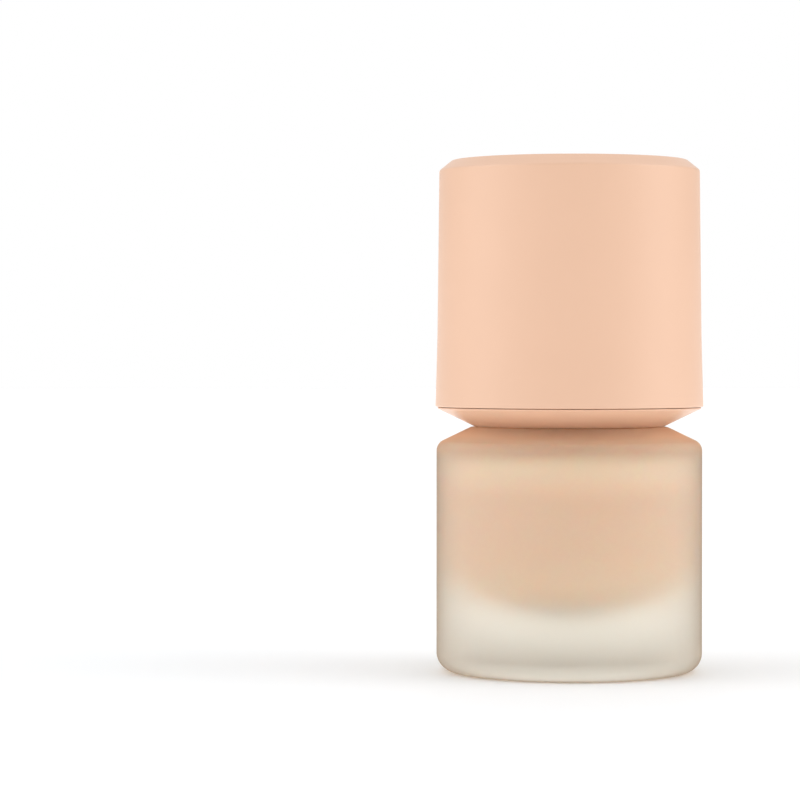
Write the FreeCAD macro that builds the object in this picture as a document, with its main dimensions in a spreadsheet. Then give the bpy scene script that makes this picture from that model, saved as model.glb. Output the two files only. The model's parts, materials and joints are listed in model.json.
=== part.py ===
import FreeCAD, Part
# Liquid foundation bottle of 30 ml: a thick-based frosted glass bottle, a treatment pump screwed to its neck,
# and a tall overcap pushed down over the pump. Millimetres, +Z up. The origin is the centre of the circle
# that the bottle stands on, and the pump's spout points along +X.
#
# Nearly every body is turned about +Z, so an outline is a list of corners (radius, height) in the body's XZ
# plane, and a third number rounds the corner. The spreadsheet "sizes" holds the driving dimensions, and the
# sketches and features are bound to it.

import math
import os

import Sketcher

SIZES = {
    # glass bottle
    "body_radius": (23.0, "outside of the glass body"),
    "base_round": (3.3, "rounding where the side meets the base"),
    "punt_radius": (16.5, "hollow under the base"),
    "punt_depth": (0.8, "depth of that hollow"),
    "punt_round": (0.5, "rounding of its edges"),
    "floor_height": (9.4, "thick glass under the middle of the chamber"),
    "chamber_radius": (20.0, "inside of the glass body"),
    "bowl_radius": (7.5, "where the chamber's floor begins to rise like a bowl"),
    "bowl_round": (24.0, "rounding at that place"),
    "bowl_rise": (7.51, "rise from there to the chamber's side"),
    "chamber_round": (6.0, "inside corner between floor and side"),
    "corner_height": (39.5, "where the side would meet the sloping shoulder"),
    "shoulder_radius": (17.1, "upper edge of the sloping shoulder"),
    "shoulder_height": (42.35, "flat top of the shoulder"),
    "shoulder_round": (2.0, "rounding between side and shoulder"),
    "roof_round": (4.4, "rounding inside it, at the top of the chamber's side"),
    "glass_edge": (0.4, "rounding of the glass's smaller edges"),
    "ceiling_height": (39.1, "underside of the shoulder's flat top"),
    "ceiling_radius": (16.9, "outer edge of that underside"),
    "ceiling_corner": (37.57, "where the chamber's side meets its sloping roof"),
    "neck_radius": (8.8, "neck wall between the threads"),
    "neck_bore": (5.75, "opening through the neck"),
    "neck_height": (13.05, "shoulder top to rim"),
    # screw thread of the neck and the closure
    "thread_pitch": (3.175, "8 threads to the inch"),
    "thread_turns": (1.5, "length of each thread"),
    "thread_depth": (1.0, "crest above the wall it stands on"),
    "thread_drop": (7.6, "rim down to the first turn's centre"),
    "thread_root": (1.6, "width of a thread where it leaves its wall"),
    "thread_crest": (0.8, "width of a thread at its crest"),
    "thread_embed": (0.15, "how far a thread's profile starts inside its wall"),
    "thread_lag": (1.3, "closure thread below the neck's thread"),
    # liquid and label
    "wet_gap": (0.02, "liquid to glass"),
    "dip_gap": (0.05, "liquid to the pump's wetted parts"),
    "label_radius": (14.0, "round label in the hollow under the base"),
    "label_thick": (0.1, "label"),
    # gaps and edges that many pieces share
    "running_gap": (0.02, "between faces that turn or slide on each other"),
    "soft_edge": (0.2, "rounding of moulded edges"),
    "fine_edge": (0.1, "rounding of small moulded edges"),
    "overshoot": (1.0, "how far a cut runs past the wall it cuts"),
    "rib_embed": (0.4, "how far a rib starts inside its wall"),
    # gasket, screw closure and collar shell
    "gasket_thick": (0.8, "sealing washer on the rim"),
    "gasket_bore": (5.95, "its hole"),
    "gasket_radius": (9.2, "its outside"),
    "closure_radius": (11.4, "outside of the closure"),
    "closure_bore": (10.05, "inside of the closure's skirt"),
    "closure_lift": (0.8, "closure above the shoulder"),
    "closure_top": (1.4, "closure's top wall"),
    "closure_hole": (6.5, "hole in the top wall"),
    "collar_radius": (12.0, "outside of the collar shell"),
    "collar_lift": (0.6, "collar shell above the shoulder"),
    "collar_rise": (8.15, "collar's top above the pump's flange"),
    "collar_lip": (1.2, "collar's top wall"),
    "collar_mouth": (8.75, "opening that the actuator sinks into"),
    "collar_round": (0.6, "rounding of the collar's top edge"),
    # pump housing, depths measured down from the top of its flange
    "flange_radius": (9.3, "flange clamped by the closure"),
    "flange_thick": (1.2, "flange"),
    "housing_radius": (5.3, "housing round the piston"),
    "retainer_depth": (6.35, "counterbore for the stem retainer"),
    "retainer_bore": (4.6, "its radius"),
    "piston_bore": (4.0, "cylinder that the piston runs in"),
    "cylinder_depth": (19.35, "end of that cylinder"),
    "lead_in": (0.8, "cone at the cylinder's lower end"),
    "spring_bore": (3.2, "chamber round the spring"),
    "spring_wall": (4.4, "housing round the spring"),
    "spring_depth": (25.85, "ledge under the spring"),
    "step_floor": (1.0, "wall below each inner ledge"),
    "housing_taper": (1.0, "height of each outer taper"),
    "ball_bore": (2.1, "chamber round the inlet ball"),
    "ball_wall": (3.3, "housing round the ball and the tube's socket"),
    "ball_depth": (28.45, "top of the ball's conical seat"),
    "inlet_radius": (0.8, "hole under the ball"),
    "socket_roof": (30.2, "top of the dip tube's socket"),
    "socket_depth": (33.85, "lower end of the housing"),
    "bead_radius": (1.38, "bead that keeps the ball in"),
    "bead_depth": (27.1, "underside of the bead"),
    "bead_thick": (0.4, "bead"),
    "bead_ramp": (0.3, "slope above the bead, over which the ball snaps in"),
    "vent_radius": (0.4, "air vent through the housing"),
    "vent_depth": (9.0, "vent below the flange's top"),
    # dip tube
    "tube_radius": (1.9, "outside"),
    "tube_bore": (1.3, "inside"),
    "tube_inset": (0.2, "tube's end below the socket's roof"),
    "tube_foot": (10.4, "lowest point of the tube"),
    "tube_slant": (2.4, "height of the slanting cut at its foot"),
    # stem retainer
    "plug_gap": (0.04, "plug to its counterbore"),
    "lip_radius": (6.1, "lip that rests on the housing"),
    "lip_thick": (0.7, "lip"),
    "turret_radius": (3.4, "guide above the lip"),
    "turret_height": (2.6, "top of the guide above the flange"),
    "guide_bore": (2.18, "hole that guides the stem"),
    "relief_inner": (2.95, "moulding relief in the plug, inside"),
    "relief_outer": (3.85, "moulding relief in the plug, outside"),
    "relief_depth": (4.8, "moulding relief in the plug, depth"),
    # stem, poppet and piston; the pump is at the top of its stroke
    "stem_radius": (2.1, "stem"),
    "stem_bore": (1.2, "passage through the stem"),
    "stem_rise": (14.65, "stem's top above the flange's top"),
    "stop_radius": (3.3, "shoulder that stops the stem at the top"),
    "stop_gap": (0.05, "stem's shoulder below the retainer"),
    "stop_thick": (1.2, "that shoulder"),
    "tail_radius": (1.9, "stem below the shoulder, inside the piston"),
    "tail_length": (2.75, "that part's length"),
    "slot_width": (0.8, "outlet slots through the stem's tail"),
    "slot_height": (2.0, "those slots"),
    "float_gap": (0.6, "piston's free travel on the stem"),
    "piston_length": (3.25, "piston's inner sleeve"),
    "sleeve_bore": (1.95, "hole through the piston"),
    "sleeve_radius": (2.5, "outside of the inner sleeve"),
    "skirt_bore": (3.35, "inside of the piston's outer skirt"),
    "skirt_drop": (0.3, "outer skirt below the inner sleeve"),
    "skirt_rebate": (0.15, "outer skirt's top below the inner sleeve's"),
    "piston_radius": (3.97, "sealing lips"),
    "piston_waist": (3.8, "outer skirt between its lips"),
    "lip_height": (0.7, "each sealing lip"),
    "web_rise": (1.1, "web above the inner sleeve's foot"),
    "web_thick": (0.8, "web that joins sleeve and skirt"),
    "poppet_radius": (2.95, "poppet's head"),
    "poppet_head": (1.2, "thickness of the head's flat edge"),
    "seat_radius": (2.6, "foot of the poppet's sealing cone"),
    "pin_radius": (1.15, "poppet's pin inside the stem"),
    "pin_height": (8.0, "poppet's pin above the head's underside"),
    "flute_width": (0.7, "flow passages along the pin"),
    "flute_floor": (0.7, "pin's axis to the bottom of a passage"),
    "flute_start": (0.3, "passages begin this far above the cone"),
    "spigot_radius": (2.1, "spring's centring spigot"),
    "spigot_length": (1.5, "that spigot"),
    # spring and ball
    "spring_radius": (2.6, "to the wire's centre"),
    "wire_radius": (0.35, "spring wire"),
    "spring_turns": (7.0, "turns"),
    "ball_radius": (1.5, "steel inlet ball"),
    # actuator
    "button_radius": (8.3, "outside of the actuator"),
    "button_wall": (0.9, "its shell"),
    "button_height": (15.2, "its shell from skirt to top"),
    "button_roof": (1.6, "shell's top wall"),
    "button_round": (0.9, "rounding of the top edge"),
    "dish_radius": (34.0, "sphere that hollows the finger rest"),
    "dish_depth": (0.7, "depth of the finger rest"),
    "hub_radius": (3.6, "socket round the stem"),
    "hub_lift": (1.3, "hub above the shell's lower edge"),
    "hub_free": (3.0, "hub's lower stretch without ribs"),
    "disc_thick": (1.1, "disc under the shell's roof"),
    "core_gap": (0.06, "core to shell"),
    "core_rib": (0.9, "ribs from hub to shell"),
    "stem_clear": (0.1, "stem's top below the end of its socket"),
    "spout_drop": (5.5, "spout's axis below the actuator's top"),
    "spout_radius": (2.1, "spout"),
    "spout_root": (1.5, "spout's beginning inside the hub"),
    "spout_reach": (11.0, "spout's end from the axis"),
    "spout_bore": (1.3, "bore for the nozzle insert"),
    "insert_depth": (2.2, "that bore"),
    "channel_radius": (0.8, "passage through the spout"),
    "insert_gap": (0.03, "insert to its bore"),
    "insert_clear": (0.1, "insert's back to the bore's end"),
    "insert_rim": (0.4, "insert's rim in front of the spout"),
    "insert_rim_radius": (1.75, "that rim"),
    "orifice_radius": (0.5, "hole that the product leaves by"),
    # overcap
    "cap_foot_radius": (23.2, "outside of the overcap at its lower edge"),
    "cap_waist_radius": (22.86, "outside of the overcap where the flare of its lower edge begins"),
    "cap_waist_height": (57.0, "height of that place"),
    "cap_waist_round": (300.0, "long curve that blends the flare in"),
    "cap_top_radius": (22.52, "outside of the overcap below its top bevel"),
    "cap_flat_radius": (20.35, "flat top inside the bevel"),
    "cap_foot_height": (45.9, "lower edge of the outer shell"),
    "cap_bevel_height": (86.75, "lower edge of the top bevel"),
    "cap_top_height": (88.5, "flat top"),
    "cap_wall": (2.0, "outer shell"),
    "cap_soft_edge": (0.6, "rounding of the bevel's edges"),
    "cap_foot_edge": (0.15, "rounding of the lower edge"),
    "seam": (0.1, "joint between shell and base ring"),
    "ring_radius": (22.8, "base ring at the joint"),
    "ring_edge": (0.23, "upright edge above the ring's cone"),
    "ring_foot_radius": (16.47, "lower edge of the ring's cone"),
    "ring_foot_height": (42.5, "underside of the ring"),
    "ring_mouth": (12.3, "opening that passes the collar"),
    "ring_wall": (1.3, "base ring"),
    "spigot_gap": (0.16, "ring's spigot inside the shell"),
    "spigot_wall": (1.5, "spigot"),
    "spigot_rise": (4.4, "spigot above the joint"),
    "socket_rise": (6.0, "ring's socket round the liner"),
    "socket_wall": (1.1, "that socket"),
    "liner_bore": (12.15, "inside of the liner"),
    "liner_wall": (0.95, "liner"),
    "liner_roof_height": (82.5, "underside of the liner's closed end"),
    "liner_roof": (1.2, "closed end"),
    "liner_gap": (0.05, "liner to its socket"),
    "fin_foot_height": (52.0, "lower end of the liner's outer fins"),
    "fin_rise": (1.35, "fins above the liner's closed end"),
    "fin_thick": (1.2, "fins that centre the liner in the shell"),
    "fin_gap": (0.75, "fins to the shell's wall"),
    "grip_radius": (12.04, "crest of the ribs that grip the collar"),
    "grip_width": (1.2, "grip ribs"),
    "grip_foot_height": (47.0, "lower end of the grip ribs"),
    "grip_length": (14.0, "grip ribs"),
}
FIN_COUNT = 6
GRIP_COUNT = 8
RIB_COUNT = 4
FLUTE_COUNT = 3
SLOT_COUNT = 2
NEAR = 1e-4  # how closely an edge has to match a stated ring


class Size:
    """A length as a spreadsheet expression together with its present value."""

    def __init__(self, text, value):
        self.text = text
        self.value = value

    def __add__(self, other):
        other = as_size(other)
        return Size(f"({self.text} + {other.text})", self.value + other.value)

    def __sub__(self, other):
        other = as_size(other)
        return Size(f"({self.text} - {other.text})", self.value - other.value)

    def __mul__(self, other):
        other = as_size(other)
        return Size(f"{self.text} * {other.text}", self.value * other.value)

    def __truediv__(self, other):
        other = as_size(other)
        return Size(f"({self.text} / {other.text})", self.value / other.value)

    def __neg__(self):
        return self * -1.0


def as_size(value):
    return value if isinstance(value, Size) else Size(repr(float(value)), float(value))


def size(alias):
    return Size("sizes." + alias, SIZES[alias][0])


def make_sheet(document):
    """The driving dimensions: what each is in column A, its value in column B under its alias."""
    sheet = document.addObject("Spreadsheet::Sheet", "sizes")
    for row, (alias, (value, meaning)) in enumerate(SIZES.items(), 1):
        sheet.set(f"A{row}", meaning)
        sheet.set(f"B{row}", str(value))
        sheet.setAlias(f"B{row}", alias)
    document.recompute()


def new_body(label):
    """An empty body, one to a physical piece. Its label names its file."""
    body = doc.addObject("PartDesign::Body", label)
    body.Label = label
    return body


def origin_feature(body, role):
    return next(item for item in body.Origin.OriginFeatures if item.Role == role)


def new_sketch(body, name, plane, lift=None):
    """A sketch on one of the body's own origin planes, raised along its normal by lift."""
    sketch = body.newObject("Sketcher::SketchObject", name)
    sketch.AttachmentSupport = [(origin_feature(body, plane), "")]
    sketch.MapMode = "FlatFace"
    if lift is not None:
        sketch.setExpression("AttachmentOffset.Base.z", lift.text)
    return sketch


def bind(sketch, constraint, name, wanted):
    """Adds a constraint, named, whose value follows a spreadsheet expression."""
    index = sketch.addConstraint(constraint)
    sketch.renameConstraint(index, name)
    sketch.setExpression("Constraints." + name, wanted.text)


def place_point(sketch, geometry, point, name, across, up):
    """Pins a point of a sketch at (across, up), which may be negative. Zero means on the axis."""
    for axis, wanted in (("X", as_size(across)), ("Y", as_size(up))):
        if abs(wanted.value) < NEAR:
            line = -2 if axis == "X" else -1
            sketch.addConstraint(Sketcher.Constraint("PointOnObject", geometry, point, line))
        else:
            distance = Sketcher.Constraint("Distance" + axis, -1, 1, geometry, point, wanted.value)
            bind(sketch, distance, f"{name}_{axis.lower()}", wanted)


def round_corner(sketch, index, radius):
    """Rounds the corner where side index begins. The corner itself stays pinned as a construction point."""
    arc = sketch.GeometryCount
    sketch.fillet(index, 1, radius.value, True, True)
    bind(sketch, Sketcher.Constraint("Radius", arc, radius.value), f"round{index}", radius)


def outline(body, name, corners, plane="XZ_Plane", lift=None):
    """A closed outline of straight sides. A corner is (across, up), or (across, up, radius) to round it."""
    sketch = new_sketch(body, name, plane, lift)
    spots = [FreeCAD.Vector(as_size(corner[0]).value, as_size(corner[1]).value, 0) for corner in corners]
    for index, spot in enumerate(spots):
        sketch.addGeometry(Part.LineSegment(spot, spots[(index + 1) % len(spots)]), False)
    for index in range(len(spots)):
        sketch.addConstraint(Sketcher.Constraint("Coincident", index, 2, (index + 1) % len(spots), 1))
    for index, corner in enumerate(corners):
        place_point(sketch, index, 1, f"corner{index}", corner[0], corner[1])
    for index, corner in enumerate(corners):
        if len(corner) == 3:
            round_corner(sketch, index, as_size(corner[2]))
    return sketch


def bar(body, name, start, end, half_width, height):
    """A level rectangle along the X axis from start to end, at that height."""
    corners = [(start, -half_width), (end, -half_width), (end, half_width), (start, half_width)]
    return outline(body, name, corners, "XY_Plane", height)


def disc(body, name, across, up, radius, plane="YZ_Plane", lift=None):
    """A circle of that radius, centred at (across, up)."""
    sketch = new_sketch(body, name, plane, lift)
    centre = FreeCAD.Vector(as_size(across).value, as_size(up).value, 0)
    sketch.addGeometry(Part.Circle(centre, FreeCAD.Vector(0, 0, 1), radius.value), False)
    place_point(sketch, 0, 3, "centre", across, up)
    bind(sketch, Sketcher.Constraint("Radius", 0, radius.value), "radius", radius)
    return sketch


def revolve(body, name, corners):
    """Turns an outline of (radius, height) corners all the way round +Z."""
    sketch = outline(body, name + "_outline", corners)
    feature = body.newObject("PartDesign::Revolution", name)
    feature.Profile = sketch
    feature.ReferenceAxis = (sketch, ["V_Axis"])
    feature.Angle = 360
    doc.recompute()
    return feature


def pad(body, name, sketch, length):
    feature = body.newObject("PartDesign::Pad", name)
    feature.Profile = sketch
    feature.setExpression("Length", as_size(length).text)
    doc.recompute()
    return feature


def pocket(body, name, sketch, length, both_ways=False):
    """Cuts along the sketch's normal, or equally to both its sides. A cut of nothing is an error."""
    before = body.Shape.Volume
    feature = body.newObject("PartDesign::Pocket", name)
    feature.Profile = sketch
    feature.Reversed = True
    feature.Midplane = both_ways
    feature.setExpression("Length", as_size(length).text)
    doc.recompute()
    if body.Shape.Volume > before - NEAR:
        raise RuntimeError(f"{name} removed nothing from {body.Label}")
    return feature


def around(body, name, feature, count, whole_angle=360):
    """Repeats a feature evenly about +Z, over a full turn unless whole_angle says less."""
    pattern = body.newObject("PartDesign::PolarPattern", name)
    pattern.Originals = [feature]
    pattern.Axis = (origin_feature(body, "Z_Axis"), [""])
    pattern.Angle = whole_angle
    pattern.Occurrences = count
    body.Tip = pattern
    doc.recompute()
    return pattern


def round_spout_rings(body, name, radius, rings):
    """Rounds the circular edges round the X direction at the given (radius, distance along X) pairs."""
    base = body.Tip
    wanted = [(ring.value, along.value) for ring, along in rings]
    edges, found = [], set()
    for index, edge in enumerate(base.Shape.Edges, 1):
        if edge.Curve.TypeId != "Part::GeomCircle" or abs(edge.Curve.Axis.x) < 1 - NEAR:
            continue
        for ring in wanted:
            if abs(edge.Curve.Radius - ring[0]) < NEAR and abs(edge.Curve.Center.x - ring[1]) < NEAR:
                edges.append(f"Edge{index}")
                found.add(ring)
    if found != set(wanted):
        raise RuntimeError(f"{body.Label} has no ring at {set(wanted) - found}")
    fillet = body.newObject("PartDesign::Fillet", name)
    fillet.Base = (base, edges)
    fillet.setExpression("Radius", radius.text)
    doc.recompute()
    return fillet


def coil(body, name, sketch, pitch, height):
    """Sweeps a sketch of the XZ plane along a right-handed helix about +Z."""
    feature = body.newObject("PartDesign::AdditiveHelix", name)
    feature.Profile = sketch
    feature.ReferenceAxis = (sketch, ["V_Axis"])
    feature.Mode = 0
    feature.setExpression("Pitch", as_size(pitch).text)
    feature.setExpression("Height", as_size(height).text)
    doc.recompute()
    return feature


# Levels and edges that several pieces share
rim = size("shoulder_height") + size("neck_height")
deck = rim + size("gasket_thick") + size("flange_thick")
closure_ceiling = deck + size("running_gap")
closure_roof = closure_ceiling + size("closure_top")
collar_top = deck + size("collar_rise")
retainer_foot = deck - size("retainer_depth")
stop_top = retainer_foot - size("stop_gap")
stop_foot = stop_top - size("stop_thick")
piston_top = stop_foot - size("float_gap")
piston_foot = piston_top - size("piston_length")
seat_foot = piston_foot - size("seat_radius") + size("sleeve_bore") - size("stop_gap")
poppet_foot = seat_foot - size("poppet_head")
spring_ledge = deck - size("spring_depth")
button_foot = collar_top - size("collar_lip")
button_top = button_foot + size("button_height")
spout_height = button_top - size("spout_drop")
tube_top = deck - size("socket_roof") - size("tube_inset")
soft = size("soft_edge")
fine = size("fine_edge")
past = size("overshoot")


def thread(body, name, wall, outward, start):
    """A trapezium thread, outward or inward from a wall of that radius. Start is its first centre."""
    side = 1.0 if outward else -1.0
    inside = wall - size("thread_embed") * side
    crest = wall + size("thread_depth") * side
    root_half = size("thread_root") * 0.5
    crest_half = size("thread_crest") * 0.5
    profile = outline(
        body,
        name + "_profile",
        [
            (inside, start - root_half),
            (crest, start - crest_half),
            (crest, start + crest_half),
            (inside, start + root_half),
        ],
    )
    return coil(body, name, profile, size("thread_pitch"), size("thread_pitch") * size("thread_turns"))


def housing_outside(gap):
    """The stepped outside of the pump housing below the neck, from the top down, grown by gap."""
    step = deck - size("cylinder_depth") - size("step_floor")
    second_step = spring_ledge - size("step_floor")
    taper = size("housing_taper")
    return [
        (size("housing_radius") + gap, step),
        (size("spring_wall") + gap, step - taper),
        (size("spring_wall") + gap, second_step),
        (size("ball_wall") + gap, second_step - taper),
        (size("ball_wall") + gap, deck - size("socket_depth") - gap),
    ]


def glass_bottle():
    body = new_body("glass_bottle")
    outside, inside = size("body_radius"), size("chamber_radius")
    floor, shoulder = size("floor_height"), size("shoulder_height")
    neck, bore = size("neck_radius"), size("neck_bore")
    ceiling = size("ceiling_height")
    punt, punt_depth = size("punt_radius"), size("punt_depth")
    round_shoulder, edge = size("shoulder_round"), size("glass_edge")
    revolve(
        body,
        "blank",
        [
            (0, punt_depth),
            (punt, punt_depth, size("punt_round")),
            (punt + punt_depth, 0, size("punt_round")),
            (outside, 0, size("base_round")),
            (outside, size("corner_height"), round_shoulder),
            (size("shoulder_radius"), shoulder, edge),
            (neck, shoulder, edge),
            (neck, rim, edge),
            (bore, rim, edge),
            (bore, ceiling, round_shoulder),
            (size("ceiling_radius"), ceiling, round_shoulder),
            (inside, size("ceiling_corner"), size("roof_round")),
            (inside, floor + size("bowl_rise"), size("chamber_round")),
            (size("bowl_radius"), floor, size("bowl_round")),
            (0, floor),
        ],
    )
    thread(body, "neck_thread", neck, True, rim - size("thread_drop"))


def foundation_fill():
    """The liquid. It fills the chamber to its ceiling, round the pump parts that stand in it."""
    body = new_body("foundation_fill")
    wet, dip = size("wet_gap"), size("dip_gap")
    outside = size("chamber_radius") - wet
    floor, level = size("floor_height") + wet, size("ceiling_height") - wet
    tube = size("tube_radius") + dip
    revolve(
        body,
        "liquid",
        [
            (0, floor),
            (size("bowl_radius"), floor, size("bowl_round") - wet),
            (outside, floor + size("bowl_rise"), size("chamber_round") - wet),
            (outside, size("ceiling_corner") - wet, size("roof_round") - wet),
            (size("ceiling_radius"), level, size("shoulder_round") - wet),
            (size("housing_radius") + dip, level),
            *housing_outside(dip),
            (tube, deck - size("socket_depth") - dip),
            (tube, size("tube_foot") - dip),
            (0, size("tube_foot") - dip),
        ],
    )


def base_label():
    body = new_body("base_label")
    radius, top = size("label_radius"), size("punt_depth") - size("running_gap")
    foot = top - size("label_thick")
    revolve(body, "sticker", [(0, foot), (radius, foot), (radius, top), (0, top)])


def neck_gasket():
    body = new_body("neck_gasket")
    inner, outer = size("gasket_bore"), size("gasket_radius")
    foot = rim + size("running_gap")
    top = rim + size("gasket_thick") - size("running_gap")
    corners = [(inner, foot, fine), (outer, foot, fine), (outer, top, fine), (inner, top, fine)]
    revolve(body, "washer", corners)


def screw_closure():
    body = new_body("screw_closure")
    outer, inner = size("closure_radius"), size("closure_bore")
    foot = size("shoulder_height") + size("closure_lift")
    hole = size("closure_hole")
    revolve(
        body,
        "cup",
        [
            (inner, foot, soft),
            (outer, foot, soft),
            (outer, closure_roof, soft),
            (hole, closure_roof, fine),
            (hole, closure_ceiling),
            (inner, closure_ceiling),
        ],
    )
    thread(body, "closure_thread", inner, False, rim - size("thread_drop") - size("thread_lag"))


def collar_shell():
    """Decorative sleeve pressed over the closure, with a lip round the actuator."""
    body = new_body("collar_shell")
    outer, inner = size("collar_radius"), size("closure_radius") + size("running_gap")
    foot, mouth = size("shoulder_height") + size("collar_lift"), size("collar_mouth")
    under = collar_top - size("collar_lip")
    revolve(
        body,
        "sleeve",
        [
            (inner, foot, fine),
            (outer, foot, soft),
            (outer, collar_top, size("collar_round")),
            (mouth, collar_top, soft),
            (mouth, under, fine),
            (inner, under),
        ],
    )


def pump_housing():
    body = new_body("pump_housing")
    flange, under = size("flange_radius"), deck - size("flange_thick")
    seat_top = deck - size("ball_depth")
    inlet, ball_bore = size("inlet_radius"), size("ball_bore")
    bead, bead_under = size("bead_radius"), deck - size("bead_depth")
    bead_top = bead_under + size("bead_thick")
    socket_roof, foot = deck - size("socket_roof"), deck - size("socket_depth")
    socket = size("tube_radius") + size("dip_gap")
    cylinder_foot = deck - size("cylinder_depth")
    revolve(
        body,
        "moulding",
        [
            (size("retainer_bore"), deck),
            (flange, deck, soft),
            (flange, under, soft),
            (size("housing_radius"), under),
            *housing_outside(as_size(0)),
            (socket, foot, fine),
            (socket, socket_roof),
            (inlet, socket_roof),
            (inlet, seat_top - ball_bore + inlet),
            (ball_bore, seat_top),
            (ball_bore, bead_under),
            (bead, bead_under),
            (bead, bead_top),
            (ball_bore, bead_top + size("bead_ramp")),
            (ball_bore, spring_ledge),
            (size("spring_bore"), spring_ledge),
            (size("spring_bore"), cylinder_foot),
            (size("piston_bore"), cylinder_foot + size("lead_in")),
            (size("piston_bore"), retainer_foot),
            (size("retainer_bore"), retainer_foot),
        ],
    )
    vent = disc(body, "vent_circle", 0, deck - size("vent_depth"), size("vent_radius"))
    pocket(body, "vent", vent, size("housing_radius") + past)


def dip_tube():
    """A straight tube, cut on the slant at its foot so that it can't seal against the floor."""
    body = new_body("dip_tube")
    outer, inner, foot = size("tube_radius"), size("tube_bore"), size("tube_foot")
    revolve(body, "tube", [(inner, foot), (outer, foot), (outer, tube_top), (inner, tube_top)])
    reach = outer + past
    slant_top = foot + size("tube_slant")
    corners = [(-outer, foot), (reach, foot - past), (reach, slant_top), (outer, slant_top)]
    pocket(body, "slant", outline(body, "slant_outline", corners), reach * 2, both_ways=True)


def stem_retainer():
    """The plug in the housing's mouth that guides the stem and stops it at the top."""
    body = new_body("stem_retainer")
    plug, bore = size("retainer_bore") - size("plug_gap"), size("guide_bore")
    foot, lip_foot = retainer_foot, deck + size("running_gap")
    lip, lip_top = size("lip_radius"), deck + size("lip_thick")
    turret, top = size("turret_radius"), deck + size("turret_height")
    relief_top = foot + size("relief_depth")
    revolve(
        body,
        "plug",
        [
            (bore, foot),
            (size("relief_inner"), foot),
            (size("relief_inner"), relief_top),
            (size("relief_outer"), relief_top),
            (size("relief_outer"), foot),
            (plug, foot),
            (plug, lip_foot),
            (lip, lip_foot, fine),
            (lip, lip_top, fine),
            (turret, lip_top, fine),
            (turret, top, soft),
            (bore, top, fine),
        ],
    )


def stem():
    """Hollow stem. The product enters it through slots in its tail, inside the piston."""
    body = new_body("stem")
    tube, bore, stop, tail = size("stem_radius"), size("stem_bore"), size("stop_radius"), size("tail_radius")
    tail_foot, top = stop_foot - size("tail_length"), deck + size("stem_rise")
    revolve(
        body,
        "tube",
        [
            (bore, tail_foot),
            (tail, tail_foot, fine),
            (tail, stop_foot),
            (stop, stop_foot, fine),
            (stop, stop_top, fine),
            (tube, stop_top),
            (tube, top, soft),
            (bore, top, fine),
        ],
    )
    reach = tail + past
    slot = bar(body, "slot_outline", -reach, reach, size("slot_width") * 0.5, tail_foot)
    around(body, "slots", pocket(body, "slot", slot, size("slot_height")), SLOT_COUNT, 90)


def poppet():
    """Valve core pressed into the stem. Its cone seals the piston's foot, and the spring lifts its head."""
    body = new_body("poppet")
    head, pin, spigot = size("poppet_radius"), size("pin_radius"), size("spigot_radius")
    seat = size("seat_radius")
    pin_foot, top = seat_foot + seat - pin, poppet_foot + size("pin_height")
    spigot_foot = poppet_foot - size("spigot_length")
    revolve(
        body,
        "core",
        [
            (0, spigot_foot),
            (spigot, spigot_foot, soft),
            (spigot, poppet_foot),
            (head, poppet_foot, fine),
            (head, seat_foot, fine),
            (seat, seat_foot),
            (pin, pin_foot),
            (pin, top, soft),
            (0, top),
        ],
    )
    flute_foot = pin_foot + size("flute_start")
    flute = bar(body, "flute_outline", size("flute_floor"), pin + past, size("flute_width") * 0.5, flute_foot)
    around(body, "flutes", pocket(body, "flute", flute, size("pin_height")), FLUTE_COUNT)


def piston():
    """H-section ring with two sealing lips on its outer skirt."""
    body = new_body("piston")
    bore, sleeve, skirt = size("sleeve_bore"), size("sleeve_radius"), size("skirt_bore")
    outer, waist, lip = size("piston_radius"), size("piston_waist"), size("lip_height")
    web_foot = piston_foot + size("web_rise")
    web_top = web_foot + size("web_thick")
    skirt_foot, skirt_top = piston_foot - size("skirt_drop"), piston_top - size("skirt_rebate")
    revolve(
        body,
        "ring",
        [
            (bore, piston_foot),
            (sleeve, piston_foot, fine),
            (sleeve, web_foot),
            (skirt, web_foot),
            (skirt, skirt_foot, fine),
            (outer, skirt_foot, fine),
            (outer, skirt_foot + lip),
            (waist, skirt_foot + lip),
            (waist, skirt_top - lip),
            (outer, skirt_top - lip),
            (outer, skirt_top, fine),
            (skirt, skirt_top, fine),
            (skirt, web_top),
            (sleeve, web_top),
            (sleeve, piston_top, fine),
            (bore, piston_top),
        ],
    )


def return_spring():
    body = new_body("return_spring")
    wire = size("wire_radius")
    first = spring_ledge + wire + size("running_gap")
    last = poppet_foot - wire - size("running_gap")
    height = last - first
    section = disc(body, "wire_section", size("spring_radius"), first, wire, "XZ_Plane")
    coil(body, "wire", section, height / size("spring_turns"), height)


def inlet_ball():
    """The ball stands a hair's breadth above its 45 degree conical seat."""
    ball = doc.addObject("Part::Sphere", "inlet_ball")
    ball.Label = "inlet_ball"
    ball.setExpression("Radius", size("ball_radius").text)
    seat_apex = deck - size("ball_depth") - size("ball_bore")
    centre = seat_apex + size("ball_radius") * math.sqrt(2) + size("running_gap")
    ball.setExpression("Placement.Base.z", centre.text)


def actuator_shell():
    body = new_body("actuator_shell")
    outer, inner = size("button_radius"), size("button_radius") - size("button_wall")
    roof = button_top - size("button_roof")
    revolve(
        body,
        "cup",
        [
            (inner, button_foot, fine),
            (outer, button_foot, soft),
            (outer, button_top, size("button_round")),
            (0, button_top),
            (0, roof),
            (inner, roof),
        ],
    )
    dish = body.newObject("PartDesign::SubtractiveSphere", "finger_rest")
    dish.setExpression("Radius", size("dish_radius").text)
    dish.setExpression("Placement.Base.z", (button_top + size("dish_radius") - size("dish_depth")).text)
    doc.recompute()
    window = disc(body, "window_circle", 0, spout_height, size("spout_radius") + size("core_gap"))
    pocket(body, "window", window, outer + past)


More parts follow.
